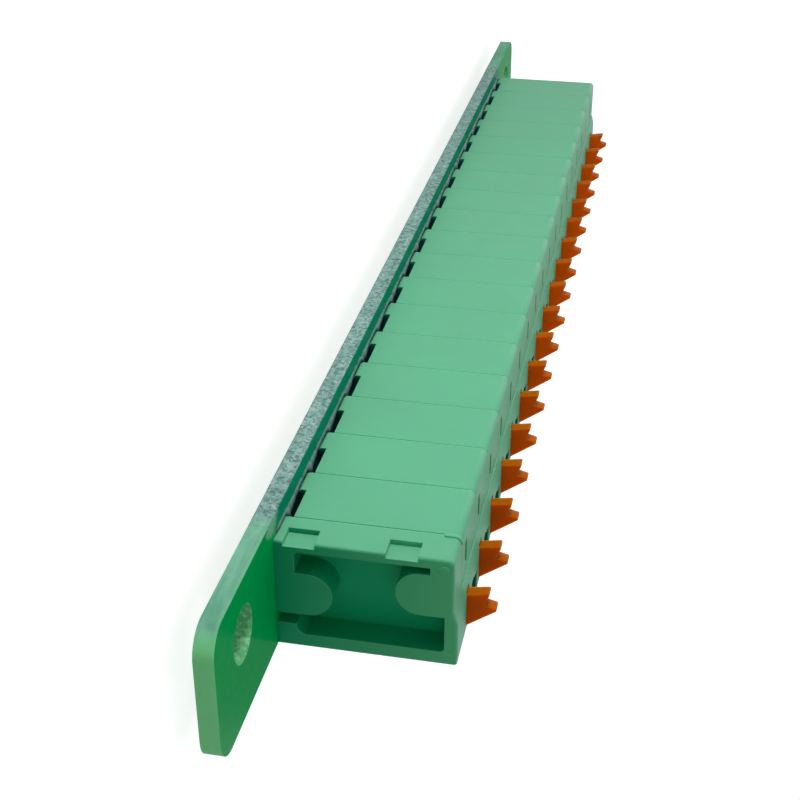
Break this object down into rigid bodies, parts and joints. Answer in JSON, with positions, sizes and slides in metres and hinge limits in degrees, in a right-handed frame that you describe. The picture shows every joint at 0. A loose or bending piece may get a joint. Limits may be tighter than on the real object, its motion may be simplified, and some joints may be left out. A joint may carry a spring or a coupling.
{
  "type": "modular terminal block",
  "caption": "Row of single-pole spring-clamp wire terminals with sliding release buttons on a narrow board strip, with a screw-hole tab at each end.",
  "frame": {"origin": "midway between the two screw holes, on the board's underside", "axes": "+X along the row from the end plate to the closed end, +Y towards the modules' back, +Z away from the board"},
  "size_m": [0.1166, 0.0091, 0.0157],
  "materials": {
    "housing_green": "satin moulded polyamide, light green",
    "button_orange": "satin moulded plastic, orange",
    "board_green": "glass-fibre laminate with green solder mask",
    "spring_steel": "rolled spring steel",
    "contact_tin": "tin-plated copper alloy",
    "solder_grey": "solder, smooth"
  },
  "bodies": {
    "row": {"board": "board_green", "end_plate": "housing_green", "contact_bars": "contact_tin", "solder_joints": "solder_grey", "housing_01": "housing_green", "spring_01": "spring_steel", "housing_02": "housing_green", "spring_02": "spring_steel", "housing_03": "housing_green", "spring_03": "spring_steel", "housing_04": "housing_green", "spring_04": "spring_steel", "housing_05": "housing_green", "spring_05": "spring_steel", "housing_06": "housing_green", "spring_06": "spring_steel", "housing_07": "housing_green", "spring_07": "spring_steel", "housing_08": "housing_green", "spring_08": "spring_steel", "housing_09": "housing_green", "spring_09": "spring_steel", "housing_10": "housing_green", "spring_10": "spring_steel", "housing_11": "housing_green", "spring_11": "spring_steel", "housing_12": "housing_green", "spring_12": "spring_steel", "housing_13": "housing_green", "spring_13": "spring_steel", "housing_14": "housing_green", "spring_14": "spring_steel", "housing_15": "housing_green", "spring_15": "spring_steel", "housing_16": "housing_green", "spring_16": "spring_steel", "housing_17": "housing_green", "spring_17": "spring_steel", "housing_18": "housing_green", "spring_18": "spring_steel"},
    "button_01": {"button_01": "button_orange"},
    "button_02": {"button_02": "button_orange"},
    "button_03": {"button_03": "button_orange"},
    "button_04": {"button_04": "button_orange"},
    "button_05": {"button_05": "button_orange"},
    "button_06": {"button_06": "button_orange"},
    "button_07": {"button_07": "button_orange"},
    "button_08": {"button_08": "button_orange"},
    "button_09": {"button_09": "button_orange"},
    "button_10": {"button_10": "button_orange"},
    "button_11": {"button_11": "button_orange"},
    "button_12": {"button_12": "button_orange"},
    "button_13": {"button_13": "button_orange"},
    "button_14": {"button_14": "button_orange"},
    "button_15": {"button_15": "button_orange"},
    "button_16": {"button_16": "button_orange"},
    "button_17": {"button_17": "button_orange"},
    "button_18": {"button_18": "button_orange"}
  },
  "joints": [
    {"name": "press_01", "type": "slide", "parent": "row", "child": "button_01", "axis": [0, 0, -1], "range_m": [0, 0.001], "stiffness_N_per_m": 2000, "springref_m": -0.002, "deforming": ["spring_01"]},
    {"name": "press_02", "type": "slide", "parent": "row", "child": "button_02", "axis": [0, 0, -1], "range_m": [0, 0.001], "stiffness_N_per_m": 2000, "springref_m": -0.002, "deforming": ["spring_02"]},
    {"name": "press_03", "type": "slide", "parent": "row", "child": "button_03", "axis": [0, 0, -1], "range_m": [0, 0.001], "stiffness_N_per_m": 2000, "springref_m": -0.002, "deforming": ["spring_03"]},
    {"name": "press_04", "type": "slide", "parent": "row", "child": "button_04", "axis": [0, 0, -1], "range_m": [0, 0.001], "stiffness_N_per_m": 2000, "springref_m": -0.002, "deforming": ["spring_04"]},
    {"name": "press_05", "type": "slide", "parent": "row", "child": "button_05", "axis": [0, 0, -1], "range_m": [0, 0.001], "stiffness_N_per_m": 2000, "springref_m": -0.002, "deforming": ["spring_05"]},
    {"name": "press_06", "type": "slide", "parent": "row", "child": "button_06", "axis": [0, 0, -1], "range_m": [0, 0.001], "stiffness_N_per_m": 2000, "springref_m": -0.002, "deforming": ["spring_06"]},
    {"name": "press_07", "type": "slide", "parent": "row", "child": "button_07", "axis": [0, 0, -1], "range_m": [0, 0.001], "stiffness_N_per_m": 2000, "springref_m": -0.002, "deforming": ["spring_07"]},
    {"name": "press_08", "type": "slide", "parent": "row", "child": "button_08", "axis": [0, 0, -1], "range_m": [0, 0.001], "stiffness_N_per_m": 2000, "springref_m": -0.002, "deforming": ["spring_08"]},
    {"name": "press_09", "type": "slide", "parent": "row", "child": "button_09", "axis": [0, 0, -1], "range_m": [0, 0.001], "stiffness_N_per_m": 2000, "springref_m": -0.002, "deforming": ["spring_09"]},
    {"name": "press_10", "type": "slide", "parent": "row", "child": "button_10", "axis": [0, 0, -1], "range_m": [0, 0.001], "stiffness_N_per_m": 2000, "springref_m": -0.002, "deforming": ["spring_10"]},
    {"name": "press_11", "type": "slide", "parent": "row", "child": "button_11", "axis": [0, 0, -1], "range_m": [0, 0.001], "stiffness_N_per_m": 2000, "springref_m": -0.002, "deforming": ["spring_11"]},
    {"name": "press_12", "type": "slide", "parent": "row", "child": "button_12", "axis": [0, 0, -1], "range_m": [0, 0.001], "stiffness_N_per_m": 2000, "springref_m": -0.002, "deforming": ["spring_12"]},
    {"name": "press_13", "type": "slide", "parent": "row", "child": "button_13", "axis": [0, 0, -1], "range_m": [0, 0.001], "stiffness_N_per_m": 2000, "springref_m": -0.002, "deforming": ["spring_13"]},
    {"name": "press_14", "type": "slide", "parent": "row", "child": "button_14", "axis": [0, 0, -1], "range_m": [0, 0.001], "stiffness_N_per_m": 2000, "springref_m": -0.002, "deforming": ["spring_14"]},
    {"name": "press_15", "type": "slide", "parent": "row", "child": "button_15", "axis": [0, 0, -1], "range_m": [0, 0.001], "stiffness_N_per_m": 2000, "springref_m": -0.002, "deforming": ["spring_15"]},
    {"name": "press_16", "type": "slide", "parent": "row", "child": "button_16", "axis": [0, 0, -1], "range_m": [0, 0.001], "stiffness_N_per_m": 2000, "springref_m": -0.002, "deforming": ["spring_16"]},
    {"name": "press_17", "type": "slide", "parent": "row", "child": "button_17", "axis": [0, 0, -1], "range_m": [0, 0.001], "stiffness_N_per_m": 2000, "springref_m": -0.002, "deforming": ["spring_17"]},
    {"name": "press_18", "type": "slide", "parent": "row", "child": "button_18", "axis": [0, 0, -1], "range_m": [0, 0.001], "stiffness_N_per_m": 2000, "springref_m": -0.002, "deforming": ["spring_18"]}
  ]
}
